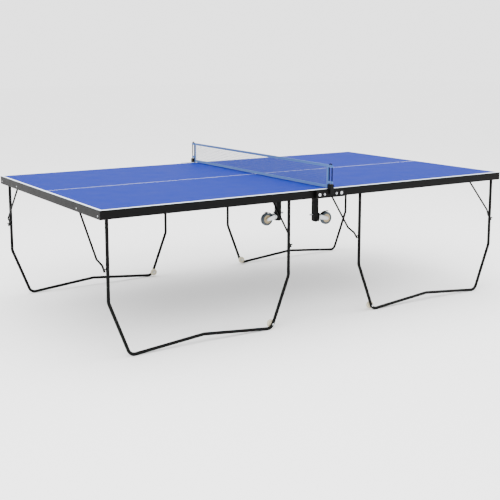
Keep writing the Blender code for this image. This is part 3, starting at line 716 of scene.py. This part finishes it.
half_wheel = WHEEL_WIDE / 2
tyre_profile = both_faces([(HUB_R - 0.004, half_wheel - 0.004), (HUB_R, half_wheel - 0.0016),
                           (HUB_R + 0.002, half_wheel - 0.0004), (HUB_R + 0.004, half_wheel),
                           (WHEEL_R - 0.004, half_wheel), (WHEEL_R - 0.0016, half_wheel - 0.0010),
                           (WHEEL_R - 0.0004, half_wheel - 0.0030), (WHEEL_R, half_wheel - 0.0060)])
hub_profile = both_faces([(0.0045, half_wheel + 0.0015), (0.0090, half_wheel + 0.0015),
                          (0.0098, half_wheel + 0.0008), (0.0104, half_wheel - 0.0016),
                          (0.0120, half_wheel - 0.0030), (0.0190, half_wheel - 0.0032),
                          (0.0208, half_wheel - 0.0012), (0.0222, half_wheel - 0.0004),
                          (HUB_R, half_wheel - 0.0006), (HUB_R + 0.0003, half_wheel - 0.0020)])


def lever_plate(way, y):
    """Thin lever that starts on the fork's crown and arches over the tyre."""
    lever_r = WHEEL_R + LEVER_GAP
    turn = np.radians(np.linspace(LEVER_FROM, LEVER_TO, 12))
    wheel = np.array([WHEEL_OUT, -WHEEL_TRAIL])
    arch = wheel + lever_r * np.stack([np.cos(turn), np.sin(turn)], -1)
    run = np.concatenate([[(0.0308, 0.0105)], arch, [arch[-1] + (0.006, 0.0022)]])
    path = np.stack([POST_X * way + way * run[:, 0], np.full(len(run), y), SWIVEL_Z + run[:, 1]], -1)
    corners = np.array([(-1, -1), (1, -1), (1, 1), (-1, 1)]) * (LEVER_THICK / 2, LEVER_WIDE / 2)
    return carried(rounded_path(corners, 0.0007, steps=3, closed=True), path, AXES[1])


for (half, side), y in POST_Y.items():
    way, label = HALVES[half], f"{half}_{side}"
    rounded_copy(f"{label}_wheel_post", f"{label}_square_post", powder_coat, CARRIAGE,
                 POST_EDGE)
    rounded_copy(f"{label}_caster_bracket", f"{label}_swing_plate", powder_coat, f"{label}_caster_arm",
                 PRESSED_EDGE)
    rounded_copy(f"{label}_caster_fork", f"{label}_zinc_fork", zinc_plate, f"{label}_fork",
                 PRESSED_EDGE)
    new_piece(f"{label}_fork_lever", [lever_plate(way, y)], black_plastic, f"{label}_fork", "black_plastic")
    axle = (way * (POST_X + WHEEL_OUT), y, SWIVEL_Z - WHEEL_TRAIL)
    heads = [dome_head((axle[0], y + edge * AXLE_HEAD_Y, axle[2]), edge * AXES[1],
                       AXLE_HEAD_R, AXLE_HEAD_HIGH) for edge in (-1, 1)]
    new_piece(f"{label}_axle_heads", heads, zinc_plate, f"{label}_fork", "zinc")
    new_piece(f"{label}_tyre", [turned(tyre_profile, axle, AXES[1], 48)], tyre_rubber,
              f"{label}_wheel", "nylon", f"{label}_caster_wheel")
    new_piece(f"{label}_hub", [turned(hub_profile, axle, AXES[1], 36)], hub_nylon, f"{label}_wheel", "nylon")
print("castors:", len(POST_Y))

# %% [markdown]
# The lock's pin is a turned shank with a ribbed head to pull on. The frame gives
# its two ends.

# %% Pull pins
RIB_LOW_R, RIB_HIGH, RIB_PITCH = 0.0051, 0.0006, 0.0009
for (half, side), y in POST_Y.items():
    way, label = HALVES[half], f"{half}_{side}"
    low, high = (np.array(corner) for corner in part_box(f"{label}_pull_pin"))
    tip, back = (high[0], low[0]) if way > 0 else (low[0], high[0])
    long = abs(tip - back)
    z = (low[2] + high[2]) / 2
    ribs = [(RIB_LOW_R + RIB_HIGH * (i % 2), long - 0.0075 + i * RIB_PITCH) for i in range(8)]
    shank = [(0.0026, 0.0), (0.0036, 0.0016), (0.0036, long - 0.0085), (0.0047, long - 0.0080)]
    knob = [(0.0046, long - 0.0006), (0.0034, long)]
    pin = turned(np.array(shank + ribs + knob), (tip, y, z), -way * AXES[0], 20)
    new_piece(f"{label}_lock_pin", [pin], zinc_plate, f"{label}_plunger", "zinc", f"{label}_pull_pin")
print("pins", round(long * 1000, 1), "mm long")

# %% [markdown]
# ## Net
#
# A hairpin of black rod stands in a clamp at each end, and the net is stretched
# between the two. A real net is square mesh, knitted from thin cord, so it is made
# here as the cords themselves, 1.4 mm thick: each upright and each level cord is a
# thin four-sided bar with a slight wave, and where they cross one passes in front
# of the other.

# %% Net posts
NET_POST_R, NET_POST_TOP, NET_POST_LOW = 0.0035, 0.903, 0.7863
NET_POST_IN, NET_POST_WIDE = 0.7655, 0.026
for side, edge in SIDES.items():
    bend = NET_POST_WIDE / 2
    turn = np.pi * np.arange(17) / 16
    arc = np.stack([NET_POST_IN + bend - bend * np.cos(turn),
                    NET_POST_TOP - NET_POST_R - bend + bend * np.sin(turn)], -1)
    run = np.concatenate([[(NET_POST_IN, NET_POST_LOW)], arc,
                          [(NET_POST_IN + NET_POST_WIDE, NET_POST_LOW)]])
    path = np.stack([np.zeros(len(run)), edge * run[:, 0], run[:, 1]], -1)
    new_piece(f"{side}_hairpin", [round_bar(path, NET_POST_R, AXES[0], 18)], powder_coat, CARRIAGE,
              "black_steel", f"{side}_net_post")
print("net posts to", NET_POST_TOP)

# %% [markdown]
# The uprights are 10 mm apart. The level cords wave by a quarter of a cord's
# thickness each way, with a period of two meshes, and where they cross the upright
# is pushed the other way.

# %% Net cords
CORD_R, MESH_PITCH = 0.00070, 0.010
NET_LOW, NET_TOP, TAPE_HIGH, NET_REACH = 0.764, 0.895, 0.015, 0.761
MESH_LOW, MESH_TOP = NET_LOW + TAPE_HIGH - 0.001, NET_TOP - TAPE_HIGH + 0.001
square = circle(CORD_R, 4)
upright_y = np.linspace(-NET_REACH + 0.004, NET_REACH - 0.004, int(2 * NET_REACH / MESH_PITCH))
level_z = np.linspace(MESH_LOW, MESH_TOP, 11)[1:-1]


def bars(paths, first, second):
    """Bars along many nearly straight paths, (bars, points, 3); first and second span their section."""
    section = square[:, :1] * first + square[:, 1:] * second
    return skin(paths[:, :, None] + section)


number = np.arange(len(upright_y))
heights = np.linspace(MESH_LOW, MESH_TOP, 11)
over = np.where((number[:, None] + np.arange(11)) % 2, 1.0, -1.0) * CORD_R * 0.5
uprights = np.stack(np.broadcast_arrays(over, upright_y[:, None], heights), -1)
row = np.arange(len(level_z)) + 1
under = np.where((row[:, None] + number) % 2, -1.0, 1.0) * CORD_R * 0.5
levels = np.stack(np.broadcast_arrays(under, upright_y, level_z[:, None]), -1)
net = new_piece("net_mesh", [bars(uprights, AXES[0], AXES[1]), bars(levels, AXES[0], AXES[2])],
                net_cord, CARRIAGE, "net_cloth", "net")
print("net:", len(upright_y), "uprights,", len(level_z), "levels")

# %% [markdown]
# The bindings are tape folded over the net's edges. The top one has the
# tensioning cord inside its fold, so its outline is a drop: round along the top
# and thin at the bottom. A narrower binding runs up each end. Last, a loop of the
# same tape holds each corner of the net to both rods of its post.


# %% Bindings and corner loops
FOLD_RADII = (0.0004, 0.0004, 0.0030, 0.0010, 0.0016, 0.0016, 0.0010, 0.0030)
CORDED_HALF, FOLDED_HALF, END_TAPE_HALF = 0.0020, 0.0010, 0.0009


def drop_outline(low, top, thick, thin):
    """Outline (across the net, height) of a folded tape, with its cord at the top."""
    middle = (low + top) / 2
    corners = np.array([(-thin, low), (thin, low), (thin, middle), (thick, top - 0.0030), (thick, top),
                        (-thick, top), (-thick, top - 0.0030), (-thin, middle)])
    return rounded_path(corners, FOLD_RADII, 5, closed=True)


def level_tape(low, top, cord_on_top):
    """A binding along the whole net, with its cord in the upper edge or in the lower one."""
    outline = drop_outline(low, top, CORDED_HALF, FOLDED_HALF)
    if not cord_on_top:
        outline = outline * (1, -1) + (0, low + top)
    y = np.linspace(-NET_REACH, NET_REACH, 40)
    return skin(np.stack(np.broadcast_arrays(outline[:, 0], y[:, None], outline[:, 1]), -1)[None])


top_tape = new_piece("net_top_binding", [level_tape(NET_TOP - TAPE_HIGH, NET_TOP, True)],
                     tape_cloth, CARRIAGE, "net_cloth", "net_top_tape")
low_tape = new_piece("net_bottom_binding", [level_tape(NET_LOW, NET_LOW + TAPE_HIGH, False)],
                     tape_cloth, CARRIAGE, "net_cloth", "net_bottom_tape")
END_TAPE_WIDE = 0.018
hems = []
for edge in SIDES.values():
    near, far = NET_REACH - END_TAPE_WIDE, NET_REACH - 0.0002
    corners = np.array([(-END_TAPE_HALF, near), (END_TAPE_HALF, near),
                        (END_TAPE_HALF, far), (-END_TAPE_HALF, far)])
    outline = rounded_path(corners, 0.0005, 3, closed=True)
    heights = np.linspace(MESH_LOW - 0.002, MESH_TOP + 0.002, 12)
    rings = np.broadcast_arrays(outline[:, 0], edge * outline[:, 1], heights[:, None])
    hems.append(skin(np.stack(rings, -1)[None]))
end_tape = new_piece("net_end_bindings", hems, tape_cloth, CARRIAGE, "net_cloth")

LOOP_HIGH, LOOP_THICK = 0.013, 0.0012
LOOP_MIDDLES = (NET_LOW + 0.033, NET_TOP - 0.0085)
reach = NET_POST_R + LOOP_THICK / 2 + 0.0003
turn = np.linspace(-np.pi / 2, np.pi / 2, 9)
corners = np.array([(-1, -1), (1, -1), (1, 1), (-1, 1)]) * (LOOP_THICK / 2, LOOP_HIGH / 2)
outline = rounded_path(corners, 0.0004, 3, closed=True)
for side, edge in SIDES.items():
    loops = []
    for middle in LOOP_MIDDLES:
        outer = np.stack([reach * np.sin(turn), NET_POST_IN + NET_POST_WIDE + reach * np.cos(turn)], -1)
        inner = np.stack([-reach * np.sin(turn), NET_POST_IN - reach * np.cos(turn)], -1)
        ring = np.concatenate([outer, inner])
        ring = np.stack([ring[:, 0], edge * ring[:, 1], np.full(len(ring), middle)], -1)
        ahead = unit(np.roll(ring, -1, 0) - np.roll(ring, 1, 0))
        out_way = np.cross(ahead, AXES[2])
        around = ring[:, None] + outline[:, :1] * out_way[:, None] + outline[:, 1:] * AXES[2]
        loops.append(closed_loop(around))
    new_piece(f"{side}_net_loops", loops, tape_cloth, CARRIAGE, "net_cloth")
print("bindings and loops in place")
